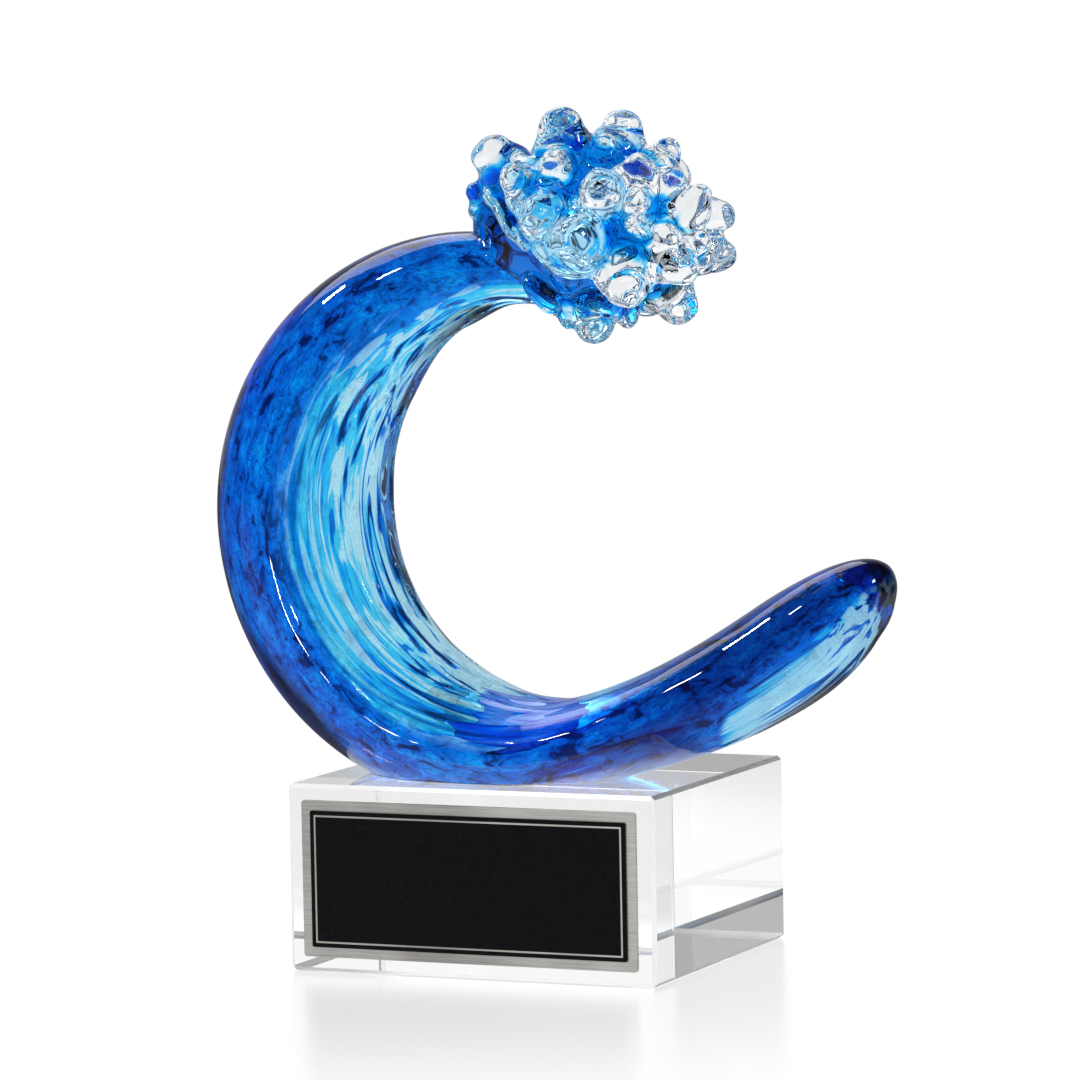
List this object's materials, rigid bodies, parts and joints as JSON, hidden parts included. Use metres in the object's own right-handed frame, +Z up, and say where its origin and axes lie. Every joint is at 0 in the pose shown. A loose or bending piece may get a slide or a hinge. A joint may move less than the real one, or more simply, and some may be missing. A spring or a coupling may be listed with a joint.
{
  "type": "glass wave sculpture",
  "caption": "Curled blue and clear glass wave with a knobbed crest, glued to a clear rectangular glass block that carries a blank framed plate.",
  "frame": {"origin": "centre of the block's underside, which rests on the table", "axes": "+Z up, -Y towards the plate on the front, +X along the front towards the tail and the curl's open side"},
  "size_m": [0.1876, 0.0908, 0.22],
  "materials": {
    "block_glass": "polished, clear",
    "blue_glass": "fire-polished, cobalt blue",
    "clear_glass": "fire-polished, clear",
    "clear_adhesive": "clear cured film",
    "mounting_tape": "white foam tape",
    "plate_steel": "brushed along its length",
    "panel_black": "satin black",
    "line_silver": "bright line"
  },
  "bodies": {
    "root": {"base_block": "block_glass", "crest_core": "blue_glass", "crest_knob_01": "clear_glass", "crest_knob_02": "clear_glass", "crest_knob_03": "clear_glass", "crest_knob_04": "clear_glass", "crest_knob_05": "clear_glass", "crest_knob_06": "clear_glass", "crest_knob_07": "clear_glass", "crest_knob_08": "clear_glass", "crest_knob_09": "clear_glass", "crest_knob_10": "clear_glass", "crest_knob_11": "clear_glass", "crest_knob_12": "clear_glass", "crest_knob_13": "clear_glass", "crest_knob_14": "clear_glass", "crest_knob_15": "clear_glass", "crest_knob_16": "clear_glass", "crest_knob_17": "clear_glass", "crest_knob_18": "clear_glass", "crest_knob_19": "clear_glass", "crest_knob_20": "clear_glass", "crest_knob_21": "clear_glass", "crest_knob_22": "clear_glass", "crest_knob_23": "clear_glass", "crest_knob_24": "clear_glass", "crest_knob_25": "clear_glass", "crest_knob_26": "clear_glass", "crest_knob_27": "clear_glass", "crest_knob_28": "clear_glass", "crest_knob_29": "clear_glass", "crest_knob_30": "clear_glass", "crest_knob_31": "clear_glass", "crest_knob_32": "clear_glass", "crest_knob_33": "clear_glass", "crest_knob_34": "clear_glass", "crest_knob_35": "clear_glass", "crest_knob_36": "clear_glass", "crest_knob_37": "clear_glass", "crest_knob_38": "clear_glass", "crest_knob_39": "clear_glass", "crest_lip": "clear_glass", "curl_clear_face": "clear_glass", "foot_adhesive": "clear_adhesive", "plate_backing": "plate_steel", "plate_border_line": "line_silver", "plate_panel": "panel_black", "plate_tape": "mounting_tape", "tail_clear_face": "clear_glass", "wave_blue_body": "blue_glass"}
  },
  "joints": []
}
